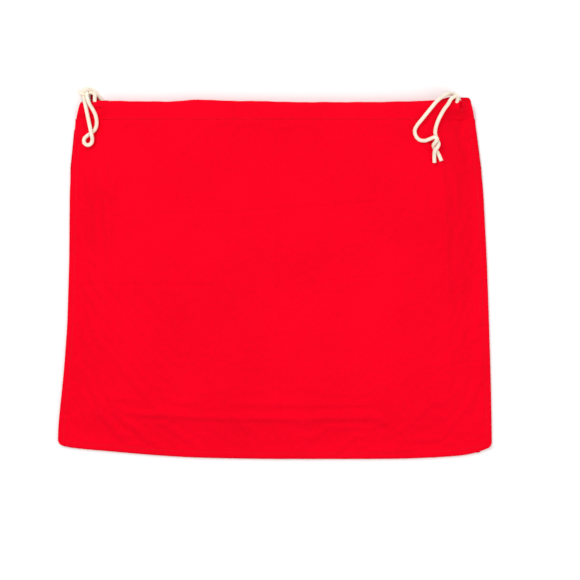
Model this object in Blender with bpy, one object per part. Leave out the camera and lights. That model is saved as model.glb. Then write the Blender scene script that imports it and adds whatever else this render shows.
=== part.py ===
"""Drawstring gift sack of red cotton, lying flat on its back with its mouth towards +Y.

Units are metres, +Z is up and the sack rests on z = 0. The sack is two panels sewn together
down both sides and along the bottom. Each panel ends at the mouth in a hem that is folded into a
casing, and one cotton cord runs round the mouth through both casings. On the left the cord comes
out as a knotted loop, and on the right its two ends are tied together over the front.
"""

import math

import bmesh
import bpy
from mathutils import Vector

MM = 0.001

# Cloth and seams
CLOTH = 1.0 * MM                 # one layer, with the fullness it has when it lies loose
GAP = 0.3 * MM                   # between pieces that touch
SEAM_ALLOWANCE = 8.0 * MM        # turned in along the sides and the bottom
SEAM_LAYERS = 1.0 * MM           # the pressed allowance between the two panels
RIM_TOP = 2 * CLOTH + SEAM_LAYERS + 2 * GAP

# How far the front panel stands off the back one
PLATEAU_AT_MOUTH = 17.0 * MM
PLATEAU_AT_BOTTOM = 9.0 * MM
SIDE_SLOPE = 34.0 * MM           # width of the slope from the seam up to the plateau
BOTTOM_SLOPE = 44.0 * MM

# Outline, as seen from above, listed from the mouth down
CASING_Y = 158.0 * MM            # where the panels end and the casings begin
MOUTH_Y = 179.0 * MM
LEFT_EDGE = [(183, -195.5), (152, -203), (119, -207), (66, -207.5), (-9, -208), (-62, -210.5),
             (-103, -214), (-139, -218), (-166, -220), (-190, -220)]
RIGHT_EDGE = [(183, 198.5), (149, 205), (115, 209.5), (59, 213.5), (-22, 216.5),
              (-103, 219), (-157, 220), (-190, 220)]
BOTTOM_EDGE = [(-220, -171), (-180, -174), (-147, -177), (-113, -180), (-75, -182), (0, -183),
               (107, -183), (156, -182.5), (201, -178.5), (220, -173.5)]
CORNER_CUT = 2.2 * MM            # how far the bottom corners are rounded back
BACK_CORNER_Y = 183.0 * MM       # the back panel's top corners stand past the front hem

# Casings: a flat hem that opens into a tunnel along the mouth
FRONT_CASING_X = (-176.0 * MM, 176.0 * MM)
BACK_CASING_X = (-168.0 * MM, 184.0 * MM)
FRONT_CASING_HEIGHT = 5.2 * MM
BACK_CASING_HEIGHT = 5.8 * MM
HEM_THICKNESS = 2.7 * MM         # two layers at the stitch line
TUNNEL_START_Y = 167.0 * MM
TUNNEL_WALL = 0.4 * MM
STITCH_INSET = 2.5 * MM          # hem stitching above the casing's lower edge
HEM_END_X = (176.4 * MM, 191.0 * MM)     # the hem lies flat beside each mouth
HEM_END_TOP = (12.0 * MM, 7.0 * MM)

# Thread
THREAD_WIDTH = 0.8 * MM
THREAD_HEIGHT = 0.4 * MM

# Cord
CORD_DIAMETER = 4.0 * MM
CORD_Y = 174.3 * MM              # the runs through the casings
FRONT_CORD_Z = 14.4 * MM
BACK_CORD_Z = 3.3 * MM

# Hinge lines on which the free strands lift off the cloth
RIGHT_LIFT_Y = 182.0 * MM
RIGHT_LIFT_Z = 19.4 * MM
LEFT_LIFT_Y = 181.0 * MM
LEFT_LIFT_Z = 10.0 * MM

# Routes of the free cord, in millimetres, chosen by hand
RIGHT_FRONT_LEAD = [(176, 174.3, 14.4), (180, 174.8, 14.4), (183.4, 176.8, 15.2),
                    (184.2, 180.2, 17.2), (183.6, 182.9, 18.9), (181.4, 182.7, 19.5)]
RIGHT_BACK_LEAD = [(184, 174.3, 3.3), (186.4, 175.0, 3.3), (187.4, 177.6, 3.3), (186.6, 180.8, 3.5),
                   (184.4, 184.0, 5.6), (180.4, 185.8, 9.6), (175.8, 185.8, 14.0),
                   (171.4, 184.2, 17.8), (168.2, 182.0, 19.5)]
RIGHT_FRONT_STRAND = [(180.0, 182.0, 19.7), (177.4, 179.8, 19.8), (174.6, 174.9, 19.7),
                      (170.6, 169.6, 19.7), (166.0, 161.6, 20.0), (162.8, 153.6, 19.5),
                      (161.6, 147.4, 19.3), (162.2, 142.6, 19.1), (163.8, 138.4, 19.2),
                      (165.0, 134.6, 20.8), (163.4, 131.0, 23.0), (161.0, 127.6, 22.4),
                      (160.6, 122.6, 20.0), (160.9, 116.2, 18.6)]
RIGHT_BACK_STRAND = [(166.5, 180.8, 19.8), (164.6, 179.0, 19.9), (162.0, 176.4, 19.7),
                     (155.9, 169.0, 19.8), (149.1, 160.6, 20.0), (143.6, 153.8, 19.5),
                     (141.1, 148.4, 19.4), (142.3, 142.6, 19.3), (146.2, 138.8, 19.2),
                     (151.4, 138.2, 19.5), (156.2, 139.8, 21.2), (160.2, 141.2, 23.4),
                     (163.2, 140.0, 23.8), (161.8, 136.6, 23.6), (159.8, 133.6, 21.2),
                     (161.0, 130.4, 18.9), (163.8, 126.8, 18.7), (166.0, 122.4, 18.6),
                     (167.8, 118.0, 18.4)]
LEFT_FRONT_LEAD = [(-176, 174.3, 14.4), (-178.8, 175.2, 14.4), (-180.6, 177.8, 14.2),
                   (-181.0, 181.2, 12.6), (-181.2, 184.4, 9.2), (-183.2, 187.0, 6.8),
                   (-186.2, 187.4, 6.4)]
LEFT_BACK_LEAD = [(-168, 174.3, 3.3), (-171.4, 175.4, 3.3), (-174.4, 179.4, 3.2),
                  (-178.0, 184.2, 2.6), (-181.6, 188.8, 2.4), (-185.4, 191.4, 3.2)]
LEFT_LOOP = [(-192.0, 180.4, 10.0), (-191.0, 176.2, 10.3), (-189.6, 170.0, 10.9),
             (-188.0, 162.4, 11.8), (-186.4, 155.4, 13.4), (-185.1, 149.4, 15.2),
             (-184.0, 144.2, 15.6), (-183.4, 139.6, 13.4), (-184.8, 135.8, 11.9),
             (-188.2, 134.2, 10.8), (-191.6, 136.2, 9.8), (-191.9, 140.4, 9.4),
             (-188.6, 143.8, 10.0), (-184.4, 146.6, 10.9), (-180.4, 150.6, 12.8),
             (-178.9, 156.6, 14.4), (-180.0, 163.6, 14.4), (-182.9, 170.0, 14.0),
             (-186.1, 175.2, 13.9), (-188.2, 180.4, 13.0)]
LEFT_KNOT_CENTRE = (-191.6, 187.2, 6.4)
LEFT_KNOT_SIZE = (9.4, 9.6, 9.0)

RED = (0.87, 0.004, 0.012, 1.0)
DARK_RED = (0.62, 0.003, 0.012, 1.0)
THREAD_RED = (0.74, 0.004, 0.014, 1.0)
IVORY = (0.93, 0.86, 0.72, 1.0)


def clear_scene():
    for obj in list(bpy.data.objects):
        bpy.data.objects.remove(obj)


def make_material(name, colour, roughness):
    material = bpy.data.materials.new(name)
    material.use_nodes = True
    shader = material.node_tree.nodes["Principled BSDF"]
    shader.inputs["Base Color"].default_value = colour
    shader.inputs["Roughness"].default_value = roughness
    shader.inputs["Metallic"].default_value = 0.0
    return material


def add_mesh_object(name, bm, material, parent=None):
    bmesh.ops.recalc_face_normals(bm, faces=bm.faces)
    mesh = bpy.data.meshes.new(name)
    bm.to_mesh(mesh)
    bm.free()
    mesh.materials.append(material)
    obj = bpy.data.objects.new(name, mesh)
    bpy.context.collection.objects.link(obj)
    if parent is not None:
        obj.parent = parent
        obj.matrix_parent_inverse = parent.matrix_world.inverted()
    return obj


def add_empty(name, place, parent=None):
    empty = bpy.data.objects.new(name, None)
    bpy.context.collection.objects.link(empty)
    empty.location = place
    bpy.context.view_layer.update()
    if parent is not None:
        empty.parent = parent
        empty.matrix_parent_inverse = parent.matrix_world.inverted()
        bpy.context.view_layer.update()
    return empty


# ---------------------------------------------------------------- outline

def blend_weight(t):
    """Smooth step from 0 to 1."""
    t = min(max(t, 0.0), 1.0)
    return t * t * (3.0 - 2.0 * t)


def along(table, key):
    """Value read from a list of (key, value) pairs in millimetres; both ways in metres."""
    key_mm = key / MM
    rows = sorted(table)
    if key_mm <= rows[0][0]:
        return rows[0][1] * MM
    for (k0, v0), (k1, v1) in zip(rows, rows[1:]):
        if key_mm <= k1:
            return (v0 + (v1 - v0) * (key_mm - k0) / (k1 - k0)) * MM
    return rows[-1][1] * MM


def left_x(y):
    return along(LEFT_EDGE, y)


def right_x(y):
    return along(RIGHT_EDGE, y)


def bottom_y(x):
    return along(BOTTOM_EDGE, x)


def place_on_panel(u, v, top_y, inset=0.0):
    """Point of the outline's own grid: u runs left to right, v from the mouth to the bottom."""
    x = -0.22 + 0.44 * u
    y = top_y + (bottom_y(x) + inset - top_y) * v
    left = left_x(y) + inset
    right = right_x(y) - inset
    return Vector((left + (right - left) * u, y, 0.0))


def front_height(x, y):
    """Top of the front panel: a low plateau that slopes to the seams."""
    fullness = (y - bottom_y(x)) / (CASING_Y - bottom_y(x))
    plateau = PLATEAU_AT_BOTTOM + (PLATEAU_AT_MOUTH - PLATEAU_AT_BOTTOM) * fullness
    side = min(x - left_x(y), right_x(y) - x) - SEAM_ALLOWANCE
    low = y - bottom_y(x) - SEAM_ALLOWANCE
    rise = blend_weight(side / SIDE_SLOPE) * blend_weight(low / BOTTOM_SLOPE)
    return RIM_TOP + (plateau - RIM_TOP) * rise


def fractions(edge_steps, middle_steps, edge_share):
    """Grid lines from 0 to 1, closer together near both ends."""
    steps = [edge_share * i / edge_steps for i in range(edge_steps)]
    middle = 1.0 - 2.0 * edge_share
    steps += [edge_share + middle * i / middle_steps for i in range(middle_steps)]
    steps += [1.0 - edge_share + edge_share * i / edge_steps for i in range(edge_steps + 1)]
    return steps


def rounded_corner(point):
    """Pulls the two bottom corners of the grid in on to their arc."""
    inward = -CORNER_CUT if point.x > 0 else CORNER_CUT
    return Vector((point.x + inward, point.y + CORNER_CUT, point.z))


def grid_solid(rows_top, rows_under, present=None):
    """Closed solid between two grids of points; present(row, column) says which cells exist."""
    bm = bmesh.new()
    row_count = len(rows_top) - 1
    column_count = len(rows_top[0]) - 1
    cells = {(i, j) for i in range(row_count) for j in range(column_count)
             if present is None or present(i, j)}
    used = {(i + a, j + b) for i, j in cells for a in (0, 1) for b in (0, 1)}
    top = {key: bm.verts.new(rows_top[key[0]][key[1]]) for key in sorted(used)}
    under = {key: bm.verts.new(rows_under[key[0]][key[1]]) for key in sorted(used)}
    for i, j in sorted(cells):
        ring = [(i, j), (i, j + 1), (i + 1, j + 1), (i + 1, j)]
        bm.faces.new([top[key] for key in ring])
        bm.faces.new([under[key] for key in reversed(ring)])
        neighbours = [(i - 1, j), (i, j + 1), (i + 1, j), (i, j - 1)]
        for a, b, neighbour in zip(ring, ring[1:] + ring[:1], neighbours):
            if neighbour not in cells:
                bm.faces.new((top[a], under[a], under[b], top[b]))
    return bm


# ---------------------------------------------------------------- panels

def hem_end_height(x):
    """Top of the flat hem beside a casing's mouth: it falls away outwards, under the cord."""
    span = (abs(x) - HEM_END_X[0]) / (HEM_END_X[1] - HEM_END_X[0])
    return HEM_END_TOP[0] + (HEM_END_TOP[1] - HEM_END_TOP[0]) * span


def hem_end_columns():
    """Shares of the width, at the top of the panel, on which the two hem ends stand."""
    left = left_x(CASING_Y)
    width = right_x(CASING_Y) - left
    middle = (HEM_END_X[0] + HEM_END_X[1]) / 2.0
    places = [-HEM_END_X[1], -middle, -HEM_END_X[0], HEM_END_X[0], middle, HEM_END_X[1]]
    return [(x - left) / width for x in places]


def build_front_panel(material):
    """The panel, with the flat ends of its hem beside the casing's two mouths."""
    columns = sorted(fractions(3, 8, 0.10) + hem_end_columns())
    rows = [0.0, 0.2, 0.42, 0.62, 0.76, 0.84, 0.88, 0.92, 0.955, 0.978, 1.0]
    hem_rows = [MOUTH_Y, 0.5 * (MOUTH_Y + CASING_Y), CASING_Y + 3.0 * MM]
    top = []
    for y in hem_rows:
        line = []
        for u in columns:
            x = place_on_panel(u, 0.0, CASING_Y).x
            line.append(Vector((x, y, hem_end_height(x))))
        top.append(line)
    for v in rows:
        line = []
        for u in columns:
            point = place_on_panel(u, v, CASING_Y)
            if v == 1.0 and u in (columns[0], columns[-1]):
                point = rounded_corner(point)
            line.append(Vector((point.x, point.y, front_height(point.x, point.y))))
        top.append(line)
    under = [[p - Vector((0, 0, CLOTH)) for p in line] for line in top]
    ends = hem_end_columns()

    def present(i, j):
        middle = 0.5 * (columns[j] + columns[j + 1])
        on_end = ends[0] < middle < ends[2] or ends[3] < middle < ends[5]
        return i >= len(hem_rows) or on_end

    return add_mesh_object("front_panel", grid_solid(top, under, present), material)


def build_back_panel(material):
    """Flat on the surface, with a corner beside each end of its casing."""
    outline = []
    outline.append((BACK_CASING_X[1] + GAP, CASING_Y - GAP))
    outline.append((BACK_CASING_X[1] + GAP, BACK_CORNER_Y - 1.5 * MM))
    outline.append((BACK_CASING_X[1] + 3.0 * MM, BACK_CORNER_Y - 0.2 * MM))
    outline.append((right_x(BACK_CORNER_Y) - 2.0 * MM, BACK_CORNER_Y))
    outline.append((right_x(BACK_CORNER_Y), BACK_CORNER_Y - 2.5 * MM))
    heights = [y * MM for y in (149, 115, 59, -22, -103, -157)]
    outline += [(right_x(y), y) for y in heights]
    corner = place_on_panel(1.0, 1.0, CASING_Y)
    outline.append(tuple(rounded_corner(corner).xy))
    outline += [(x * MM, bottom_y(x * MM)) for x in (201, 156, 107, 0, -75, -113, -147, -180)]
    corner = place_on_panel(0.0, 1.0, CASING_Y)
    outline.append(tuple(rounded_corner(corner).xy))
    outline += [(left_x(y * MM), y * MM) for y in (-157, -139, -103, -62, -9, 66, 119, 152)]
    outline.append((left_x(MOUTH_Y), MOUTH_Y))
    outline.append((left_x(MOUTH_Y) + 3.0 * MM, MOUTH_Y + 1.5 * MM))
    outline.append((BACK_CASING_X[0] - GAP, MOUTH_Y + 0.5 * MM))
    outline.append((BACK_CASING_X[0] - GAP, CASING_Y - GAP))
    bm = bmesh.new()
    face = bm.faces.new([bm.verts.new((x, y, 0.0)) for x, y in outline])
    raised = bmesh.ops.extrude_face_region(bm, geom=[face])
    moved = [item for item in raised["geom"] if isinstance(item, bmesh.types.BMVert)]
    bmesh.ops.translate(bm, verts=moved, vec=(0, 0, CLOTH))
    return add_mesh_object("back_panel", bm, material)


# ---------------------------------------------------------------- casings

def casing_profile(height):
    """Outer and inner loops (y, z), with z measured from the casing's outside face inwards."""
    radius = height / 2.0
    round_y = MOUTH_Y - radius
    outer = [(CASING_Y, 0.0), (TUNNEL_START_Y, 0.0)]
    outer += [(round_y + radius * math.sin(a), radius - radius * math.cos(a))
              for a in (math.radians(d) for d in (0, 30, 60, 90, 120, 150, 180))]
    outer += [(TUNNEL_START_Y + 2.0 * MM, height), (TUNNEL_START_Y - 2.0 * MM, HEM_THICKNESS),
              (CASING_Y, HEM_THICKNESS)]
    bore = radius - TUNNEL_WALL
    start = TUNNEL_START_Y + 3.0 * MM + bore
    inner = [(start + bore * math.sin(a), radius - bore * math.cos(a))
             for a in (math.radians(d) for d in (180, 225, 270, 315, 360))]
    inner += [(round_y + bore * math.sin(a), radius - bore * math.cos(a))
              for a in (math.radians(d) for d in (0, 30, 60, 90, 120, 150, 180))]
    return outer, inner


def build_casing(name, x_range, height, to_world_z, material):
    outer, inner = casing_profile(height)
    bm = bmesh.new()
    ends = []
    for x in x_range:
        rings = []
        for loop in (outer, inner):
            verts = [bm.verts.new((x, y, to_world_z(z))) for y, z in loop]
            edges = [bm.edges.new((a, b)) for a, b in zip(verts, verts[1:] + verts[:1])]
            rings.append((verts, edges))
        ends.append(rings)
        bmesh.ops.triangle_fill(bm, use_beauty=True, edges=rings[0][1] + rings[1][1])
    for (verts_a, _), (verts_b, _) in zip(ends[0], ends[1]):
        count = len(verts_a)
        for i in range(count):
            j = (i + 1) % count
            bm.faces.new((verts_a[i], verts_a[j], verts_b[j], verts_b[i]))
    return add_mesh_object(name, bm, material)


def build_casings(material):
    build_casing("front_casing", FRONT_CASING_X, FRONT_CASING_HEIGHT,
                 lambda z: PLATEAU_AT_MOUTH - z, material)
    build_casing("back_casing", BACK_CASING_X, BACK_CASING_HEIGHT, lambda z: z, material)


# ---------------------------------------------------------------- seams and stitching

def strip_solid(centres, half_width, low, high, across):
    """Flat strip of four-sided section along a list of centres."""
    offset = across * half_width
    top = [[Vector((p.x, p.y, high)) - offset, Vector((p.x, p.y, high)) + offset] for p in centres]
    under = [[Vector((p.x, p.y, low)) - offset, Vector((p.x, p.y, low)) + offset] for p in centres]
    return grid_solid(top, under)


def side_line(edge_x, inward, inset, y_top, y_bottom, steps):
    """Points a fixed distance inside one side edge."""
    points = []
    for i in range(steps + 1):
        y = y_top + (y_bottom - y_top) * i / steps
        points.append(Vector((edge_x(y) + inward * inset, y, 0.0)))
    return points


def bottom_line(inset, x_left, x_right, steps):
    points = []
    for i in range(steps + 1):
        x = x_left + (x_right - x_left) * i / steps
        points.append(Vector((x, bottom_y(x) + inset, 0.0)))
    return points


def build_seam_allowances(material):
    low = CLOTH + GAP
    high = low + SEAM_LAYERS
    half = SEAM_ALLOWANCE / 2.0 - GAP
    centre = SEAM_ALLOWANCE / 2.0 + GAP
    y_top = 150.0 * MM
    y_bottom = -158.0 * MM
    across_x = Vector((1, 0, 0))
    across_y = Vector((0, 1, 0))
    left = side_line(left_x, 1, centre, y_top, y_bottom, 8)
    right = side_line(right_x, -1, centre, y_top, y_bottom, 8)
    bottom = bottom_line(centre, -206.0 * MM, 208.0 * MM, 9)
    for name, line, across in (("left_seam_allowance", left, across_x),
                               ("right_seam_allowance", right, across_x),
                               ("bottom_seam_allowance", bottom, across_y)):
        add_mesh_object(name, strip_solid(line, half, low, high, across), material)


def build_seam_stitching(material):
    low = RIM_TOP + GAP
    high = low + THREAD_HEIGHT
    half = THREAD_WIDTH / 2.0
    inset = SEAM_ALLOWANCE - 2.0 * MM
    left = side_line(left_x, 1, inset, 154.0 * MM, -162.0 * MM, 12)
    right = side_line(right_x, -1, inset, 154.0 * MM, -162.0 * MM, 12)
    bottom = bottom_line(inset, -212.0 * MM, 212.0 * MM, 14)
    for name, line, across in (("left_seam_stitching", left, Vector((1, 0, 0))),
                               ("right_seam_stitching", right, Vector((1, 0, 0))),
                               ("bottom_seam_stitching", bottom, Vector((0, 1, 0)))):
        add_mesh_object(name, strip_solid(line, half, low, high, across), material)


def build_hem_stitching(material):
    across = Vector((0, 1, 0))
    y = CASING_Y + STITCH_INSET
    for name, x_range, surface in (("front_hem_stitching", FRONT_CASING_X, PLATEAU_AT_MOUTH),
                                   ("back_hem_stitching", BACK_CASING_X, HEM_THICKNESS)):
        margin = 2.0 * MM
        ends = [Vector((x_range[0] + margin, y, 0.0)), Vector((x_range[1] - margin, y, 0.0))]
        low = surface + GAP
        solid = strip_solid(ends, THREAD_WIDTH / 2.0, low, low + THREAD_HEIGHT, across)
        add_mesh_object(name, solid, material)


# ---------------------------------------------------------------- cord

def smooth_route(points, spacing):
    """Points read at even steps from a Catmull-Rom curve through the route's own points."""
    knots = [Vector(p) * MM for p in points]
    knots = [2 * knots[0] - knots[1]] + knots + [2 * knots[-1] - knots[-2]]
    dense = []
    for p0, p1, p2, p3 in zip(knots, knots[1:], knots[2:], knots[3:]):
        for i in range(24):
            t = i / 24.0
            dense.append(0.5 * (2 * p1 + (p2 - p0) * t + (2 * p0 - 5 * p1 + 4 * p2 - p3) * t * t
                                + (3 * p1 - p0 - 3 * p2 + p3) * t ** 3))
    dense.append(knots[-2])
    lengths = [0.0]
    for a, b in zip(dense, dense[1:]):
        lengths.append(lengths[-1] + (b - a).length)
    count = max(2, round(lengths[-1] / spacing))
    route = []
    index = 0
    for step in range(count + 1):
        target = lengths[-1] * step / count
        while index < len(lengths) - 2 and lengths[index + 1] < target:
            index += 1
        span = lengths[index + 1] - lengths[index]
        route.append(dense[index].lerp(dense[index + 1], (target - lengths[index]) / span))
    return route


def build_cord(name, route, material, parent):
    curve = bpy.data.curves.new(name, "CURVE")
    curve.dimensions = "3D"
    curve.bevel_depth = CORD_DIAMETER / 2.0
    curve.bevel_resolution = 2
    curve.use_fill_caps = True
    spline = curve.splines.new("POLY")
    spline.points.add(len(route) - 1)
    for point, place in zip(spline.points, route):
        point.co = (place.x, place.y, place.z, 1.0)
    curve.materials.append(material)
    obj = bpy.data.objects.new(name, curve)
    bpy.context.collection.objects.link(obj)
    obj.parent = parent
    obj.matrix_parent_inverse = parent.matrix_world.inverted()
    return obj


def casing_run(side, height_z):
    """Straight half of the run through a casing, from the middle of the mouth to the lead."""
    return [(side * 0.15, CORD_Y / MM, height_z / MM), (side * 60.0, CORD_Y / MM, height_z / MM),
            (side * 120.0, CORD_Y / MM, height_z / MM), (side * 162.0, CORD_Y / MM, height_z / MM)]


def build_cord_halves(material):
    """The half of the cord on each side slides out of the casings as one piece."""
    spacing = 2.0 * CORD_DIAMETER
    fine = 0.75 * CORD_DIAMETER
    right = add_empty("right_cord_slide", (0.18, CORD_Y, RIGHT_LIFT_Z))
    left = add_empty("left_cord_slide", (-0.18, CORD_Y, LEFT_LIFT_Z))
    for name, side, height, lead, parent in (
            ("right_front_run", 1, FRONT_CORD_Z, RIGHT_FRONT_LEAD, right),
            ("right_back_run", 1, BACK_CORD_Z, RIGHT_BACK_LEAD, right),
            ("left_front_run", -1, FRONT_CORD_Z, LEFT_FRONT_LEAD, left),
            ("left_back_run", -1, BACK_CORD_Z, LEFT_BACK_LEAD, left)):
        straight = smooth_route(casing_run(side, height), 5.0 * spacing)
        route = straight[:-1] + smooth_route([tuple(straight[-1] / MM)] + lead, fine)
        build_cord(name, route, material, parent)
    return right, left


def build_strands(material, right, left):
    """The free strands lift on a line across the sack beside the mouth."""
    right_lift = add_empty("right_cord_lift", (0.18, RIGHT_LIFT_Y, RIGHT_LIFT_Z), right)
    left_lift = add_empty("left_loop_lift", (-0.19, LEFT_LIFT_Y, LEFT_LIFT_Z), left)
    fine = 0.75 * CORD_DIAMETER
    build_cord("right_front_strand", smooth_route(RIGHT_FRONT_STRAND, fine), material, right_lift)
    build_cord("right_back_strand", smooth_route(RIGHT_BACK_STRAND, fine), material, right_lift)
    build_cord("left_loop", smooth_route(LEFT_LOOP, 0.6 * CORD_DIAMETER), material, left_lift)


def build_left_knot(material, left):
    bm = bmesh.new()
    bmesh.ops.create_uvsphere(bm, u_segments=14, v_segments=8, radius=0.5)
    for vert in bm.verts:
        scaled = [c * s * MM for c, s in zip(vert.co, LEFT_KNOT_SIZE)]
        vert.co = Vector(scaled) + Vector(LEFT_KNOT_CENTRE) * MM
    knot = add_mesh_object("left_knot", bm, material, left)
    knot.data.shade_smooth()


def build_sack():
    clear_scene()
    cotton = make_material("red_cotton", RED, 0.9)
    inside = make_material("red_cotton_inside", DARK_RED, 0.95)
    thread = make_material("red_thread", THREAD_RED, 0.7)
    cord = make_material("cord_cotton", IVORY, 0.85)
    build_back_panel(cotton)
    build_front_panel(cotton)
    build_casings(cotton)
    build_seam_allowances(inside)
    build_seam_stitching(thread)
    build_hem_stitching(thread)
    right, left = build_cord_halves(cord)
    build_strands(cord, right, left)
    build_left_knot(cord, left)


build_sack()
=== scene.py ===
"""Looks of the drawstring gift sack: cotton cloth, stitched seams and a braided cotton cord."""

import math

import bmesh
import bpy
import numpy as np
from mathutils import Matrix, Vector
from mathutils.bvhtree import BVHTree


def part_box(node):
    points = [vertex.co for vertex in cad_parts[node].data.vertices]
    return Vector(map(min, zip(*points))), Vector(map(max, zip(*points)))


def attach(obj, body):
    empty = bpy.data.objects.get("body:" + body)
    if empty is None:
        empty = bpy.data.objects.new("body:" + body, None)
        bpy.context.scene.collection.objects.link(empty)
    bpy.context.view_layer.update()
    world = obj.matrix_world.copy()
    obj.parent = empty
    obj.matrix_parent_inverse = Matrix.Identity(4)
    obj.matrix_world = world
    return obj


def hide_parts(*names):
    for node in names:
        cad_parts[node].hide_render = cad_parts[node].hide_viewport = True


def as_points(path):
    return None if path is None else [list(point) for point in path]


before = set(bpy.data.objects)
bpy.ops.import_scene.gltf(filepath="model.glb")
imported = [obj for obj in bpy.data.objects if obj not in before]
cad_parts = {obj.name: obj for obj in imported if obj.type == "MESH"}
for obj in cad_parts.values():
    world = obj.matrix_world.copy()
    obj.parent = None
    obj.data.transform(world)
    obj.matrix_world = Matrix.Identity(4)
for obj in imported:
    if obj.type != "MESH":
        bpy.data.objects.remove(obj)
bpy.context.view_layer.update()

MM = 0.001
SEED = 11

# Sizes the looks share with the frame, in metres
CORD_DIAMETER = 4.0 * MM
CLOTH = 0.5 * MM
STITCH_LINE_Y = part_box("front_hem_stitching")[0][1] + 0.4 * MM
PANEL_TOP = STITCH_LINE_Y + 0.4 * MM
STITCH_PITCH = 2.9 * MM
THREAD_RADIUS = 0.27 * MM
THREAD_PITCH = 0.62 * MM         # of the cloth's own weave

# Routes of the free cord, in metres
RIGHT_FRONT_LEAD = [(0.1760, 0.1743, 0.0144), (0.1800, 0.1748, 0.0144), (0.1834, 0.1768, 0.0152),
    (0.1842, 0.1802, 0.0172), (0.1836, 0.1829, 0.0189), (0.1814, 0.1827, 0.0195)]
RIGHT_BACK_LEAD = [(0.1840, 0.1743, 0.0033), (0.1864, 0.1750, 0.0033), (0.1874, 0.1776, 0.0033),
    (0.1866, 0.1808, 0.0035), (0.1844, 0.1840, 0.0056), (0.1804, 0.1858, 0.0096),
    (0.1758, 0.1858, 0.0140), (0.1714, 0.1842, 0.0178), (0.1682, 0.1820, 0.0195)]
RIGHT_FRONT_STRAND = [(0.1800, 0.1820, 0.0197), (0.1774, 0.1798, 0.0198), (0.1746, 0.1749, 0.0197),
    (0.1706, 0.1696, 0.0197), (0.1660, 0.1616, 0.0200), (0.1628, 0.1536, 0.0195),
    (0.1616, 0.1474, 0.0193), (0.1622, 0.1426, 0.0191), (0.1638, 0.1384, 0.0192),
    (0.1650, 0.1346, 0.0208), (0.1634, 0.1310, 0.0230), (0.1610, 0.1276, 0.0224),
    (0.1606, 0.1226, 0.0200), (0.1609, 0.1162, 0.0186)]
RIGHT_BACK_STRAND = [(0.1665, 0.1808, 0.0198), (0.1646, 0.1790, 0.0199), (0.1620, 0.1764, 0.0197),
    (0.1559, 0.1690, 0.0198), (0.1491, 0.1606, 0.0200), (0.1436, 0.1538, 0.0195),
    (0.1411, 0.1484, 0.0194), (0.1423, 0.1426, 0.0193), (0.1462, 0.1388, 0.0192),
    (0.1514, 0.1382, 0.0195), (0.1562, 0.1398, 0.0212), (0.1602, 0.1412, 0.0234),
    (0.1632, 0.1400, 0.0238), (0.1618, 0.1366, 0.0236), (0.1598, 0.1336, 0.0212),
    (0.1610, 0.1304, 0.0189), (0.1638, 0.1268, 0.0187), (0.1660, 0.1224, 0.0186),
    (0.1678, 0.1180, 0.0184)]
LEFT_FRONT_LEAD = [(-0.1760, 0.1743, 0.0144), (-0.1788, 0.1752, 0.0144), (-0.1806, 0.1778, 0.0142),
    (-0.1810, 0.1812, 0.0126), (-0.1812, 0.1844, 0.0092), (-0.1832, 0.1870, 0.0068),
    (-0.1862, 0.1874, 0.0064)]
LEFT_BACK_LEAD = [(-0.1680, 0.1743, 0.0033), (-0.1714, 0.1754, 0.0033), (-0.1744, 0.1794, 0.0032),
    (-0.1780, 0.1842, 0.0026), (-0.1816, 0.1888, 0.0024), (-0.1854, 0.1914, 0.0032)]
LEFT_LOOP = [(-0.1920, 0.1804, 0.0100), (-0.1910, 0.1762, 0.0103), (-0.1896, 0.1700, 0.0109),
    (-0.1880, 0.1624, 0.0118), (-0.1864, 0.1554, 0.0134), (-0.1851, 0.1494, 0.0152),
    (-0.1840, 0.1442, 0.0156), (-0.1834, 0.1396, 0.0134), (-0.1848, 0.1358, 0.0119),
    (-0.1882, 0.1342, 0.0108), (-0.1916, 0.1362, 0.0098), (-0.1919, 0.1404, 0.0094),
    (-0.1886, 0.1438, 0.0100), (-0.1844, 0.1466, 0.0109), (-0.1804, 0.1506, 0.0128),
    (-0.1789, 0.1566, 0.0144), (-0.1800, 0.1636, 0.0144), (-0.1829, 0.1700, 0.0140),
    (-0.1861, 0.1752, 0.0139), (-0.1882, 0.1804, 0.0130)]
FRONT_RUN = [(0.0002, 0.1743, 0.0144), (0.06, 0.1743, 0.0144), (0.12, 0.1743, 0.0144),
    (0.162, 0.1743, 0.0144)]
BACK_RUN = [(x, y, 0.0033) for x, y, z in FRONT_RUN]
CORD_Y = FRONT_RUN[0][1]

# --- camera, lights, floor

VIEW_WIDTH = 0.5867              # what the camera takes in, in metres
VIEW_LEVEL = 3.0 * MM            # the level at which it takes that in
VIEW_MIDDLE = (0.0157, -0.0119)
FLOOR_Z = -0.2 * MM              # just under the sack, so that nothing lies in the floor's plane


def add_camera():
    """Straight above the sack, far enough back that its thickness hardly shows."""
    data = bpy.data.cameras.new("camera")
    data.lens = 150.0
    data.sensor_width = 36.0
    camera = bpy.data.objects.new("camera", data)
    bpy.context.collection.objects.link(camera)
    height = VIEW_WIDTH * data.lens / data.sensor_width + VIEW_LEVEL
    camera.location = (*VIEW_MIDDLE, height)
    bpy.context.scene.camera = camera


def add_area_light(name, place, size, power):
    data = bpy.data.lights.new(name, "AREA")
    data.shape = "SQUARE"
    data.size = size
    data.energy = power
    light = bpy.data.objects.new(name, data)
    bpy.context.collection.objects.link(light)
    light.location = place
    light.rotation_euler = (Vector((0, 0, 0)) - Vector(place)).to_track_quat("-Z", "Y").to_euler()


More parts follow.
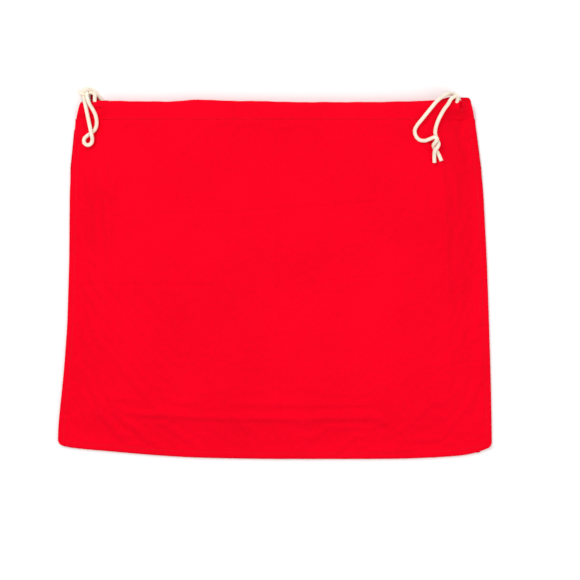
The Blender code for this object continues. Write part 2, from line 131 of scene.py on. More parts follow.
def add_studio():
    bpy.context.scene.view_settings.view_transform = "Standard"
    bpy.context.scene.view_settings.look = "None"
    add_area_light("key_light", (-0.9, 1.1, 1.7), 1.2, 21.0)
    add_area_light("fill_light", (1.3, -0.7, 1.5), 1.6, 11.0)
    add_area_light("top_light", (0.0, 0.0, 2.6), 2.4, 16.0)
    world = bpy.data.worlds.new("studio")
    world.use_nodes = True
    background = world.node_tree.nodes["Background"]
    background.inputs["Color"].default_value = (1.0, 1.0, 1.0, 1.0)
    background.inputs["Strength"].default_value = 0.55
    bpy.context.scene.world = world
    bpy.ops.mesh.primitive_plane_add(size=8.0, location=(0.0, 0.0, FLOOR_Z))
    floor = bpy.context.object
    floor.name = "floor"
    material = bpy.data.materials.new("floor")
    material.use_nodes = True
    shader = material.node_tree.nodes["Principled BSDF"]
    shader.inputs["Base Color"].default_value = (0.93, 0.93, 0.93, 1.0)
    shader.inputs["Roughness"].default_value = 0.95
    shader.inputs["Specular IOR Level"].default_value = 0.1
    floor.data.materials.append(material)


# --- materials


class Nodes:
    """Short names for building one material around its shader node."""

    def __init__(self, name):
        self.material = bpy.data.materials.new(name)
        self.material.use_nodes = True
        self.tree = self.material.node_tree
        self.shader = self.tree.nodes["Principled BSDF"]
        self.place = self.add("ShaderNodeTexCoord").outputs["Object"]

    def feed(self, entry, value):
        """Links an output to an input, or sets the input to a plain value."""
        if isinstance(value, bpy.types.NodeSocket):
            self.tree.links.new(value, entry)
        else:
            entry.default_value = value

    def add(self, kind, **inputs):
        node = self.tree.nodes.new(kind)
        for key, value in inputs.items():
            self.feed(node.inputs[key.replace("_", " ")], value)
        return node

    def math(self, operation, *values):
        node = self.tree.nodes.new("ShaderNodeMath")
        node.operation = operation
        for entry, value in zip(node.inputs, values):
            self.feed(entry, value)
        return node.outputs[0]

    def noise(self, scale, detail, roughness=0.5):
        return self.add("ShaderNodeTexNoise", Vector=self.place, Scale=scale, Detail=detail,
                        Roughness=roughness).outputs["Fac"]

    def colour(self, factor, dark, light, start=0.0, end=1.0):
        """Base colour that goes from dark to light between two values of the factor."""
        ramp = self.add("ShaderNodeValToRGB", Fac=factor)
        for element, position, shade in zip(ramp.color_ramp.elements, (start, end), (dark, light)):
            element.position = position
            element.color = shade
        self.feed(self.shader.inputs["Base Color"], ramp.outputs["Color"])

    def bump(self, height, strength, distance):
        node = self.add("ShaderNodeBump", Height=height, Strength=strength, Distance=distance)
        self.feed(self.shader.inputs["Normal"], node.outputs["Normal"])

    def finished(self, **values):
        for key, value in values.items():
            self.feed(self.shader.inputs[key.replace("_", " ")], value)
        return self.material


def weave_height(n, pitch):
    """Over-and-under of a plain weave: two sets of threads a pitch apart, with uneven yarn."""
    shift = n.math("MULTIPLY", n.noise(900.0, 2.0), 0.35 * pitch)
    split = n.add("ShaderNodeSeparateXYZ", Vector=n.place)
    waves = []
    for axis in ("X", "Y"):
        moved = n.math("ADD", split.outputs[axis], shift)
        turned = n.math("MULTIPLY", moved, math.pi / pitch)
        waves.append(n.math("SINE", turned))
    return n.math("ABSOLUTE", n.math("MULTIPLY", *waves))


def cotton_cloth(name, dark, light):
    n = Nodes(name)
    weave = weave_height(n, THREAD_PITCH)
    slub = n.noise(260.0, 4.0, 0.65)
    patch = n.noise(14.0, 3.0, 0.55)
    # The colour follows the weave's height and is darker between the threads, which is painted shade;
    # slub and patch vary the tone at random
    threads = n.math("ADD", n.math("MULTIPLY", weave, 0.45), n.math("MULTIPLY", slub, 0.35))
    n.colour(n.math("ADD", threads, n.math("MULTIPLY", patch, 0.35)), dark, light, 0.25, 0.80)
    rough = n.add("ShaderNodeMapRange", Value=slub, To_Min=0.82, To_Max=0.98)
    n.bump(n.math("ADD", weave, n.math("MULTIPLY", slub, 0.6)), 0.35, 0.12 * MM)
    return n.finished(Roughness=rough.outputs["Result"], Specular_IOR_Level=0.05, Sheen_Weight=0.12,
                      Sheen_Roughness=0.5, Sheen_Tint=(1.0, 0.06, 0.09, 1.0))


def spun_thread(name, dark, light):
    n = Nodes(name)
    twist = n.add("ShaderNodeTexWave", Vector=n.place, Scale=2400.0, Distortion=1.5)
    twist.bands_direction = "DIAGONAL"
    # The colour follows the twist's height and is darker in its grooves: painted shade
    n.colour(twist.outputs["Fac"], dark, light)
    n.bump(twist.outputs["Fac"], 0.4, 0.05 * MM)
    return n.finished(Roughness=0.6, Specular_IOR_Level=0.25)


def cord_cotton(name):
    n = Nodes(name)
    fluff = n.noise(1400.0, 5.0, 0.7)
    tone = n.noise(120.0, 2.0)
    # Colour and bump share the fluff noise, so the colour is darker where the fibres sink: painted
    # shade; the tone noise varies at random
    mixed = n.math("ADD", n.math("MULTIPLY", fluff, 0.6), n.math("MULTIPLY", tone, 0.4))
    n.colour(mixed, (0.76, 0.64, 0.49, 1.0), (0.94, 0.87, 0.74, 1.0), 0.32, 0.62)
    n.bump(fluff, 0.5, 0.08 * MM)
    return n.finished(Roughness=0.9, Specular_IOR_Level=0.2, Sheen_Weight=0.25, Sheen_Roughness=0.6)


# --- shared mesh work


def mesh_object(name, verts, faces):
    mesh = bpy.data.meshes.new(name)
    mesh.from_pydata([tuple(v) for v in verts], [], faces)
    obj = bpy.data.objects.new(name, mesh)
    bpy.context.collection.objects.link(obj)
    return obj


def mesh_piece(name, node, verts, faces, material, body):
    """A piece that stands for a CAD node."""
    obj = mesh_object(name, verts, faces)
    obj.data.materials.append(material)
    obj.data.shade_smooth()
    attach(obj, body)
    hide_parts(node)
    return obj


def grid_faces(rows, cols, start=0, flip=False):
    faces = []
    for i in range(rows - 1):
        for j in range(cols - 1):
            a = start + i * cols + j
            quad = (a, a + 1, a + cols + 1, a + cols)
            faces.append(quad[::-1] if flip else quad)
    return faces


def tube_faces(rings, around, start=0):
    faces = []
    for i in range(rings - 1):
        for j in range(around):
            k = (j + 1) % around
            a = start + i * around
            faces.append((a + j, a + k, a + around + k, a + around + j))
    return faces


def closed_tube(rings, around):
    """Faces of a tube with both its ends filled."""
    last = (rings - 1) * around
    return tube_faces(rings, around) + [tuple(reversed(range(around))),
                                        tuple(last + j for j in range(around))]


def smooth_route(points, spacing):
    """Even steps along a Catmull-Rom curve through the route's own points."""
    knots = [Vector(p) for p in points]
    knots = [2 * knots[0] - knots[1]] + knots + [2 * knots[-1] - knots[-2]]
    dense = []
    for p0, p1, p2, p3 in zip(knots, knots[1:], knots[2:], knots[3:]):
        for i in range(24):
            t = i / 24.0
            dense.append(0.5 * (2 * p1 + (p2 - p0) * t + (2 * p0 - 5 * p1 + 4 * p2 - p3) * t * t
                                + (3 * p1 - p0 - 3 * p2 + p3) * t ** 3))
    dense.append(knots[-2])
    places = np.array([tuple(p) for p in dense])
    steps = np.linalg.norm(np.diff(places, axis=0), axis=1)
    lengths = np.concatenate(([0.0], np.cumsum(steps)))
    count = max(2, round(lengths[-1] / spacing))
    targets = np.linspace(0.0, lengths[-1], count + 1)
    return np.stack([np.interp(targets, lengths, places[:, k]) for k in range(3)], axis=1)


def route_length(route):
    return float(np.linalg.norm(np.diff(route, axis=0), axis=1).sum())


def thinned(route):
    """About every third point of a route, with both its ends."""
    kept = np.linspace(0, len(route) - 1, len(route) // 3 + 1).round().astype(int)
    return [tuple(route[i]) for i in kept]


def frames_along(route):
    """Two normals at each point, carried along without twisting."""
    tangents = np.gradient(route, axis=0)
    tangents /= np.linalg.norm(tangents, axis=1)[:, None]
    normal = np.array((0.0, 0.0, 1.0))
    normals = []
    for tangent in tangents:
        normal = normal - tangent * normal.dot(tangent)
        normal = normal / np.linalg.norm(normal)
        normals.append(normal)
    return normals, np.cross(tangents, normals)


# --- cord

BRAID_CARRIERS = 8
BRAID_LAY = 9.0 * MM             # length of one full turn of a carrier
BRAID_STEP = 0.45 * MM
AROUND = 32
JOIN = 1.6 * MM                  # how far the parts of one cord run into each other
KNOT_DEPTH = 3.6 * MM            # how far the loop's two strands run into the knot
KNOT_SIZE = (5.6 * MM, 5.6 * MM, 2.4 * MM)
FRAY_LENGTH = 1.5 * MM
FRAY_FIBRES = 70


def braided_tube(route, round_start=False, round_end=False):
    """Verts and faces of a cord with the crossing ridges of a round braid, and its centreline."""
    path = smooth_route(route, BRAID_STEP)
    along = np.concatenate(([0.0], np.cumsum(np.linalg.norm(np.diff(path, axis=0), axis=1))))
    angle = np.arange(AROUND) * 2.0 * math.pi / AROUND
    radius = CORD_DIAMETER / 2.0
    half = BRAID_CARRIERS / 2.0
    verts = []
    for place, at, normal, side in zip(path, along, *frames_along(path)):
        turn = 2.0 * math.pi * at / BRAID_LAY
        right = np.cos(half * (angle - turn))
        left = np.cos(half * (angle + turn))
        over = np.cos(half * 2.0 * turn) > np.cos(2.0 * half * angle)
        ridge = np.where(over, np.maximum(right, 0.55 * left), np.maximum(left, 0.55 * right))
        r = radius * (0.90 + 0.085 * ridge)
        for is_round, from_end in ((round_start, at), (round_end, along[-1] - at)):
            if is_round and from_end < radius:
                r = r * math.sqrt(max(1.0 - (1.0 - from_end / radius) ** 2, 0.0))
        r = np.maximum(r, 0.05 * radius)
        verts.extend(place + np.outer(r * np.cos(angle), normal) + np.outer(r * np.sin(angle), side))
    return verts, closed_tube(len(path), AROUND), path


def frayed_end(place, direction, rng):
    """Fibre ends standing out of a cut cord: thin tapered blades of three sides."""
    verts = []
    faces = []
    direction = Vector(direction).normalized()
    side = direction.orthogonal().normalized()
    up = direction.cross(side)
    for _ in range(FRAY_FIBRES):
        angle = rng.uniform(0, 2 * math.pi)
        reach = rng.uniform(0.1, 1.0) ** 0.5 * CORD_DIAMETER * 0.46
        out = side * math.cos(angle) + up * math.sin(angle)
        root = Vector(place) + out * reach - direction * 0.6 * MM
        lean = out * rng.uniform(0.1, 0.9) * MM + Vector(rng.normal(0, 0.15, 3)) * MM
        tip = root + direction * rng.uniform(0.5, 1.0) * FRAY_LENGTH + lean
        start = len(verts)
        for k in range(3):
            turn = 2 * math.pi * k / 3
            verts.append(root + (side * math.cos(turn) + up * math.sin(turn)) * 0.11 * MM)
        verts.append(tip)
        faces += [(start + k, start + (k + 1) % 3, start + 3) for k in range(3)]
        faces.append((start + 2, start + 1, start))
    return verts, faces


def extended(route, before, after):
    """The route carried straight on at its two ends, into the piece that it meets there."""
    points = [Vector(p) for p in route]
    if before:
        points.insert(0, points[0] + (points[0] - points[1]).normalized() * before)
    if after:
        points.append(points[-1] + (points[-1] - points[-2]).normalized() * after)
    return points


def add_cord(name, node, route, body, material, far_end, lay, meets, frayed=False, **caps):
    """A length of the cord; meets says how far its ends run into what they meet."""
    verts, faces, path = braided_tube(extended(route, *meets), **caps)
    if frayed:
        more_verts, more_faces = frayed_end(path[-1], path[-1] - path[-4], np.random.default_rng(SEED))
        faces += [tuple(len(verts) + k for k in face) for face in more_faces]
        verts += more_verts
    piece = mesh_piece(name, node, verts, faces, material, body)
    tuple(path[0])
    route_length(path)
    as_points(thinned(path))


def add_cords(material):
    for name, node, route in (("right_front_cord", "right_front_strand", RIGHT_FRONT_STRAND),
                              ("right_back_cord", "right_back_strand", RIGHT_BACK_STRAND)):
        add_cord(name, node, route, "right_strands", material, "bare", "loose", (JOIN, 0.0),
                 frayed=True, round_start=True)
    add_cord("left_hanging_loop", "left_loop", LEFT_LOOP, "left_strands", material, "object", "loose",
             (KNOT_DEPTH, KNOT_DEPTH), round_start=True, round_end=True)
    for side, sign, leads in (("right", 1, (RIGHT_FRONT_LEAD, RIGHT_BACK_LEAD)),
                              ("left", -1, (LEFT_FRONT_LEAD, LEFT_BACK_LEAD))):
        for layer, run, lead in zip(("front", "back"), (FRONT_RUN, BACK_RUN), leads):
            route = [(sign * x, y, z) for x, y, z in run] + lead
            add_cord(f"{side}_{layer}_casing_cord", f"{side}_{layer}_run", route, side + "_cord",
                     material, "object", "taut", (0.0, JOIN), round_end=True)


def overhand_knot_route(centre):
    """Closed-looking bunch of an overhand knot: a trefoil opened at one end."""
    points = []
    for i in range(34):
        t = math.radians(-58.0 + 296.0 * i / 33.0)
        trefoil = ((math.sin(t) + 2.0 * math.sin(2.0 * t)) / 3.0,
                   (math.cos(t) - 2.0 * math.cos(2.0 * t)) / 3.0, -math.sin(3.0 * t))
        points.append([c + part * size for c, part, size in zip(centre, trefoil, KNOT_SIZE)])
    return points


def add_left_knot(material):
    centre = [(a + b) / 2.0 for a, b in zip(*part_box("left_knot"))]
    verts, faces, _ = braided_tube(overhand_knot_route(centre), round_start=True, round_end=True)
    mesh_piece("overhand_knot", "left_knot", verts, faces, material, "left_cord")


# --- outline and height of the sack


def edge_profile(obj, axis, samples):
    """Lowest and highest coordinate across a CAD mesh, at each sample along the axis."""
    coords = np.array([tuple(v.co) for v in obj.data.vertices])
    a, b = (coords[[e.vertices[k] for e in obj.data.edges]] for k in (0, 1))
    low, high = np.minimum(a, b)[:, axis], np.maximum(a, b)[:, axis]
    limits = []
    for value in samples:
        crossing = (low <= value) & (high >= value)
        p, q = a[crossing], b[crossing]
        span = q[:, axis] - p[:, axis]
        share = np.where(np.abs(span) > 1e-9, (value - p[:, axis]) / np.where(span == 0, 1, span), 0)
        across = p[:, 1 - axis] + (q - p)[:, 1 - axis] * share
        limits.append((across.min(), across.max()))
    return np.array(limits).T


def smooth_step(t):
    t = np.clip(t, 0.0, 1.0)
    return t * t * (3.0 - 2.0 * t)


def softened(values, passes=4):
    """Takes the facets out of a sampled edge."""
    for _ in range(passes):
        padded = np.concatenate(([2 * values[0] - values[1]], values, [2 * values[-1] - values[-2]]))
        values = 0.25 * padded[:-2] + 0.5 * padded[1:-1] + 0.25 * padded[2:]
    return values


def rolled(distance, bend):
    """Share of its full height that cloth has at a distance inside an edge it rolls down over."""
    return np.sqrt(np.clip(1.0 - (1.0 - np.clip(distance / bend, 0.0, 1.0)) ** 2, 0.0, 1.0))


def rounded(x, y, edge, side, end, way, radius):
    """Moves the places near a square corner onto a round one.

    The corner is where x is edge and y is end; side and way point into the cloth from there."""
    p = 1.0 - np.clip(side * (x - edge) / radius, 0.0, 1.0)
    q = 1.0 - np.clip(way * (y - end) / radius, 0.0, 1.0)
    scale = np.maximum(p, q) / np.maximum(np.hypot(p, q), 1e-9)
    corner = (p > 0) & (q > 0)
    return (np.where(corner, edge + side * radius * (1.0 - p * scale), x),
            np.where(corner, end + way * radius * (1.0 - q * scale), y))


class Outline:
    """The sack's outline as seen from above, read from the CAD front panel."""

    END = 5.0 * MM                   # the last stretch of each edge, which isn't sampled
    CORNER_RADIUS = 7.5 * MM

    def __init__(self):
        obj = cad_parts["front_panel"]
        low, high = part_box("front_panel")
        self.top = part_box("front_casing")[0][1] - 0.3 * MM
        self.ys = np.linspace(low[1] + 18.0 * MM, self.top, 60)
        self.left, self.right = (softened(edge) for edge in edge_profile(obj, 1, self.ys))
        self.xs = np.linspace(low[0] + self.END, high[0] - self.END, 60)
        self.bottom = softened(edge_profile(obj, 0, self.xs)[0])

    def left_at(self, y):
        return np.interp(y, self.ys, self.left)

    def right_at(self, y):
        return np.interp(y, self.ys, self.right)

    def bottom_at(self, x):
        return np.interp(x, self.xs, self.bottom)

    def size(self, top):
        """Width and length of a panel from the hem line down, along its middle lines."""
        return self.right_at(0.0) - self.left_at(0.0), top - self.bottom_at(0.0)

    def place(self, u, v, top):
        """x and y for u from left to right and v from the mouth to the bottom, corners rounded."""
        x_low, x_high = self.xs[0] - self.END, self.xs[-1] + self.END
        x = x_low + (x_high - x_low) * u
        y = top + (self.bottom_at(x) - top) * v
        left = self.left_at(y)
        right = self.right_at(y)
        x = left + (right - left) * u
        bottom = self.bottom_at(x)
        for side, edge in ((1.0, left), (-1.0, right)):
            x, y = rounded(x, y, edge, side, bottom, 1.0, self.CORNER_RADIUS)
        return x, y


def cad_height_sampler(node):
    """Height of a CAD node's top above each place, or NaN beside it."""
    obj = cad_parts[node]
    tree = BVHTree.FromPolygons([v.co for v in obj.data.vertices],
                                [tuple(p.vertices) for p in obj.data.polygons])

    def sample(x, y):
        hit = tree.ray_cast(Vector((x, y, 0.1)), Vector((0, 0, -1)))
        return hit[0].z if hit[0] is not None else float("nan")

    return sample


# --- cloth of the two panels

COARSE = 4.6 * MM                # spacing of the simulated cloth
FINE = 1.5 * MM                  # spacing of the finished cloth
SEAM_INSET = 6.0 * MM
SEAM_ALLOWANCE = 8.0 * MM
SEAM_EDGE_Z = 1.1 * MM           # where the two panels meet along the seam
STITCH_GROOVE = 0.45 * MM
HEM_GROOVE = 0.22 * MM
ALLOWANCE_LIFT = 0.55 * MM       # how far the turned-in allowance raises the cloth over it
SEAM_PUCKER = 0.38 * MM
HEM_GATHER = 0.42 * MM

# Settling of the front cloth, by simulation
SIM_FRAMES = 22
SUPPORT_GAP = 2.2 * MM           # from the cloth at the start down to what it settles on
MOST_SAG = 2.2 * MM
MOST_RISE = 2.6 * MM
CLOTH_SETTINGS = {"quality": 5, "mass": 0.12, "tension_stiffness": 18.0, "compression_stiffness": 12.0,
                  "shear_stiffness": 6.0, "bending_stiffness": 0.35, "air_damping": 2.0,
                  "vertex_group_mass": "sewn", "shrink_min": -0.018, "use_pressure": True,
                  "uniform_pressure_force": 0.6}

# Fold lines pressed into the cloth while it was packed: points in metres, then depth
CREASES = (
    (((0.0005, 0.170), (0.0025, 0.1165), (0.0056, 0.072), (0.0035, 0.032), (0.0025, -0.002),
      (0.0046, -0.035), (0.0056, -0.093), (0.0076, -0.172)), 0.55 * MM),
    (((-0.190, 0.062), (-0.109, 0.065), (-0.048, 0.0655), (0.009, 0.070), (0.046, 0.073),
      (0.094, 0.076), (0.150, 0.078)), 0.42 * MM),
    (((-0.204, -0.007), (-0.150, -0.0065), (-0.082, -0.0075), (-0.040, -0.007)), 0.34 * MM),
    (((0.030, -0.005), (0.049, -0.004), (0.107, 0.002), (0.1745, 0.0063)), 0.34 * MM),
    (((-0.018, -0.029), (0.030, -0.034), (0.083, -0.040)), 0.26 * MM),
    (((0.147, -0.093), (0.180, -0.087), (0.211, -0.083)), 0.30 * MM),
    (((-0.194, 0.1185), (-0.160, 0.125), (-0.126, 0.133)), 0.30 * MM),
    (((-0.187, -0.086), (-0.174, -0.100), (-0.171, -0.125), (-0.172, -0.153)), 0.32 * MM),
)


def distance_to_line(x, y, points):
    """Distance of each place to a line of points, and a weight that fades at its two ends."""
    best = np.full(x.shape, 1.0)
    travelled = np.zeros(x.shape)
    length = 0.0
    for (x0, y0), (x1, y1) in zip(points, points[1:]):
        dx, dy = x1 - x0, y1 - y0
        t = np.clip(((x - x0) * dx + (y - y0) * dy) / (dx * dx + dy * dy), 0.0, 1.0)
        d = np.hypot(x - x0 - t * dx, y - y0 - t * dy)
        step = math.hypot(dx, dy)
        travelled = np.where(d < best, length + t * step, travelled)
        best = np.minimum(d, best)
        length += step
    share = travelled / length
    return best, np.clip(np.minimum(share, 1.0 - share) / 0.16, 0.0, 1.0)


def ripple(t, wavelengths, rng):
    """Sum of sines with seeded phases and uneven pitch, about -1 to 1."""
    total = np.zeros(np.shape(t))
    for wavelength in wavelengths:
        phase = rng.uniform(0, 2 * math.pi)
        drift = rng.uniform(0.4, 1.2) * np.sin(t / (5.3 * wavelength) + rng.uniform(0, 6.3))
        total = total + np.sin(2 * math.pi * t / wavelength + phase + drift)
    return total / len(wavelengths)


def crease_height(x, y):
    height = np.zeros(x.shape)
    for points, depth in CREASES:
        d, fade = distance_to_line(x, y, points)
        sharp = np.exp(-(d / (1.5 * MM)) ** 2)
        shoulder = np.exp(-(d / (11.0 * MM)) ** 2)
        height += fade * depth * (1.35 * shoulder - 1.875 * sharp)
    return height


def undulation(x, y):
    """Long soft waves of cloth that has been folded and opened again."""
    rng = np.random.default_rng(SEED)
    height = np.zeros(x.shape)
    for wavelength, depth in ((0.150, 0.50 * MM), (0.082, 0.32 * MM), (0.045, 0.16 * MM)):
        for _ in range(4):
            angle = rng.uniform(0, math.pi)
            along = x * math.cos(angle) + y * math.sin(angle)
            phase = rng.uniform(0, 2 * math.pi)
            height += 0.5 * depth * np.sin(2 * math.pi * along / wavelength + phase)
    return height


def seam_distance(outline, x, y):
    """Distance inside the nearest sewn edge."""
    side = np.minimum(x - outline.left_at(y), outline.right_at(y) - x)
    return np.minimum(side, y - outline.bottom_at(x))


def spaced(length, step, edge_steps):
    """Shares from 0 to 1: fine steps at both ends, even ones between."""
    edge = np.array(edge_steps) / length
    count = max(2, int(round((1.0 - 2.0 * edge[-1]) * length / step)))
    middle = np.linspace(edge[-1], 1.0 - edge[-1], count + 1)
    return np.concatenate((edge[:-1], middle, (1.0 - edge[:-1])[::-1]))


def base_heights(x, y, sample):
    """CAD height at each place, filled in from its neighbours at the very edge."""
    z = np.array([[sample(a, b) for a, b in zip(row_x, row_y)] for row_x, row_y in zip(x, y)])
    for _ in range(6):
        missing = np.isnan(z)
        if not missing.any():
            break
        padded = np.pad(z, 1, constant_values=np.nan)
        around = np.stack([padded[:-2, 1:-1], padded[2:, 1:-1], padded[1:-1, :-2], padded[1:-1, 2:]])
        have = ~np.isnan(around)
        mean = np.where(have, around, 0.0).sum(axis=0) / np.maximum(have.sum(axis=0), 1)
        z = np.where(missing & have.any(axis=0), mean, z)
    return np.nan_to_num(z, nan=2.0 * MM)


def simulate_cloth(x, y, z, pinned):
    """Lets a cloth cut a little large settle over its support, and returns its heights."""
    rows, cols = x.shape
    verts = np.stack([x, y, z], axis=-1).reshape(-1, 3)
    faces = grid_faces(rows, cols, flip=True)
    cloth = mesh_object("settling", verts, faces)
    group = cloth.vertex_groups.new(name="sewn")
    group.add([int(i) for i in np.nonzero(pinned.reshape(-1))[0]], 1.0, "REPLACE")

    support = mesh_object("support", verts - np.array((0.0, 0.0, SUPPORT_GAP)), faces)
    support.modifiers.new("collision", "COLLISION")
    support.collision.thickness_outer = 0.4 * MM
    support.collision.cloth_friction = 12.0

    modifier = cloth.modifiers.new("cloth", "CLOTH")
    for key, value in CLOTH_SETTINGS.items():
        setattr(modifier.settings, key, value)
    modifier.collision_settings.distance_min = 0.6 * MM
    modifier.collision_settings.use_self_collision = False
    scene = bpy.context.scene
    scene.frame_start = 1
    scene.frame_end = SIM_FRAMES
    modifier.point_cache.frame_end = SIM_FRAMES
    for number in range(1, SIM_FRAMES + 1):
        scene.frame_set(number)
    settled = cloth.evaluated_get(bpy.context.evaluated_depsgraph_get()).to_mesh()
    heights = np.array([v.co.z for v in settled.vertices]).reshape(rows, cols)
    scene.frame_set(1)
    bpy.data.objects.remove(cloth)
    bpy.data.objects.remove(support)
    return heights


def resample(grid, u_from, v_from, u_to, v_to):
    """Reads a grid at other shares along both ways."""
    across = np.array([np.interp(u_to, u_from, row) for row in grid])
    return np.array([np.interp(v_to, v_from, column) for column in across.T]).T


def blurred(grid, passes):
    for _ in range(passes):
        p = np.pad(grid, 1, mode="edge")
        grid = (p[:-2, 1:-1] + p[2:, 1:-1] + p[1:-1, :-2] + p[1:-1, 2:] + 4.0 * grid) / 8.0
    return grid


def under_cords(x, y, z):
    """Presses the cloth down where a cord lies on it."""
    routes = [smooth_route(r, 1.5 * MM) for r in (RIGHT_FRONT_STRAND, RIGHT_BACK_STRAND, LEFT_LOOP)]
    for px, py, pz in np.concatenate(routes):
        near = (np.abs(x - px) < 12 * MM) & (np.abs(y - py) < 12 * MM)
        d = np.hypot(x[near] - px, y[near] - py)
        limit = pz - CORD_DIAMETER / 2.0 + 0.05 * MM + 0.035 * d ** 2 / MM
        z[near] = np.minimum(z[near], limit)
    return z


def panel_shares(outline, step, edge):
    """Shares across and down a panel's grid, finer towards its sewn edges."""
    width, length = outline.size(PANEL_TOP)
    down = np.linspace(0.0, 1.0 - edge[-1] / length, int(length / step))
    return spaced(width, step, edge), np.concatenate((down, 1.0 - edge[:-1][::-1] / length))


def cut_size(outline):
    """A panel's size before it was sewn, with its allowances."""
    width, length = outline.size(PANEL_TOP)
    return width + 2 * SEAM_ALLOWANCE, length + SEAM_ALLOWANCE


def seam_pucker(outline, x, y, rng):
    """Uneven gathering along whichever sewn edge is the nearer one."""
    side = np.minimum(x - outline.left_at(y), outline.right_at(y) - x)
    along = np.where(side < y - outline.bottom_at(x), y, x)
    return ripple(along, (7.5 * MM, 11.0 * MM, 17.0 * MM), rng)


def settled_heights(outline, u, v):
    """Height of the front cloth on a coarse grid, after it has settled over the CAD panel."""
    x, y = outline.place(*np.meshgrid(u, v), PANEL_TOP)
    base = base_heights(x, np.minimum(y, outline.top - 0.5 * MM), cad_height_sampler("front_panel"))
    base = blurred(base, 3)
    pinned = seam_distance(outline, x, y) < SEAM_ALLOWANCE
    pinned[0] = True
    settled = simulate_cloth(x, y, base, pinned)
    return base + np.clip(settled - base, -MOST_SAG, MOST_RISE)


def add_front_cloth(outline, material):
    coarse = [np.linspace(0.0, 1.0, int(size / COARSE) + 1) for size in outline.size(PANEL_TOP)]
    u, v = panel_shares(outline, FINE, np.array((0.0, 0.25, 0.7, 1.3, 2.1, 3.1, 4.3)) * MM)
    x, y = outline.place(*np.meshgrid(u, v), PANEL_TOP)
    z = blurred(resample(settled_heights(outline, *coarse), *coarse, u, v), 2)
    inside = np.maximum(seam_distance(outline, x, y), 0.0)
    rng = np.random.default_rng(SEED + 1)
    free = np.clip((inside - 10 * MM) / (30 * MM), 0.0, 1.0)
    free = free * np.clip((PANEL_TOP - y) / (24 * MM), 0.0, 1.0)
    z += undulation(x, y) * free
    z += crease_height(x, y) * np.clip((inside - 6 * MM) / (8 * MM), 0.0, 1.0)
    # the turned-in allowance lifts a band along the seam and ends in a step
    z += ALLOWANCE_LIFT / (1.0 + np.exp((inside - SEAM_ALLOWANCE) / (0.5 * MM)))
    z -= STITCH_GROOVE * np.exp(-((inside - SEAM_INSET) / (0.9 * MM)) ** 2)
    pucker = seam_pucker(outline, x, y, rng)
    z += SEAM_PUCKER * pucker * np.exp(-((inside - SEAM_INSET) / (7.0 * MM)) ** 2)
    # the hem line draws the cloth in along the mouth
    gather = ripple(x, (9.0 * MM, 13.0 * MM, 21.0 * MM), rng) * np.clip(inside / (12 * MM), 0, 1)
    z += HEM_GATHER * gather * np.exp(-((PANEL_TOP - y) / (9.0 * MM)) ** 2)
    z -= HEM_GROOVE * np.exp(-((y - STITCH_LINE_Y) / (1.0 * MM)) ** 2)
    z = under_cords(x, y, z)
    # the edge turns down to meet the back panel
    z = SEAM_EDGE_Z + (z - SEAM_EDGE_Z) * rolled(inside, 3.0 * MM)
    under = np.maximum(z - CLOTH, 0.95 * MM)
    piece = sheet_piece("front_cloth", "front_panel", x, y, z, under, material)
    cut_size(outline)
    return piece


def sheet_piece(name, node, x, y, top, under, material):
    """Closed sheet between two grids of heights."""
    rows, cols = x.shape
    upper = np.stack([x, y, top], axis=-1).reshape(-1, 3)
    lower = np.stack([x, y, np.minimum(under, top - 0.05 * MM)], axis=-1).reshape(-1, 3)
    offset = rows * cols
    faces = grid_faces(rows, cols, flip=True) + grid_faces(rows, cols, start=offset)
    sides = [(i * cols + j, cols, flip) for i in range(rows - 1)
             for j, flip in ((0, False), (cols - 1, True))]
    sides += [(i * cols + j, 1, flip) for j in range(cols - 1)
              for i, flip in ((0, True), (rows - 1, False))]
    for a, step, flip in sides:
        quad = (a, a + step, offset + a + step, offset + a)
        faces.append(quad[::-1] if flip else quad)
    return mesh_piece(name, node, np.concatenate((upper, lower)), faces, material, "sack")


def add_back_cloth(outline, material):
    u, v = panel_shares(outline, 1.6 * FINE, np.array((0.0, 0.25, 0.7, 1.3, 2.1, 3.1)) * MM)
    x, y = outline.place(*np.meshgrid(u, v), PANEL_TOP)
    inside = np.maximum(seam_distance(outline, x, y), 0.0)
    lift = 0.22 * MM * (1.0 + undulation(x, y) / MM) + 0.25 * crease_height(x, y)
    lift = np.clip(lift, 0.0, 0.55 * MM)
    pucker = 0.5 + 0.5 * seam_pucker(outline, x, y, np.random.default_rng(SEED + 2))
    lift += 0.3 * MM * pucker * np.exp(-((inside - SEAM_INSET) / (6.0 * MM)) ** 2)
    turn = rolled(inside, 2.2 * MM)
    low = lift * turn + 0.9 * MM * (1.0 - turn)
    high = np.maximum(low + CLOTH * (0.4 + 0.6 * turn), low + 0.1 * MM)
    piece = sheet_piece("back_cloth", "back_panel", x, y, np.minimum(high, 1.15 * MM), low, material)
    cut_size(outline)


FLAP_STEPS = (22, 26)            # rows and columns of a corner flap
FLAP_RADIUS = 4.0 * MM           # of its outer corner
FLAP_RISE = 1.3 * MM             # how far that corner lifts


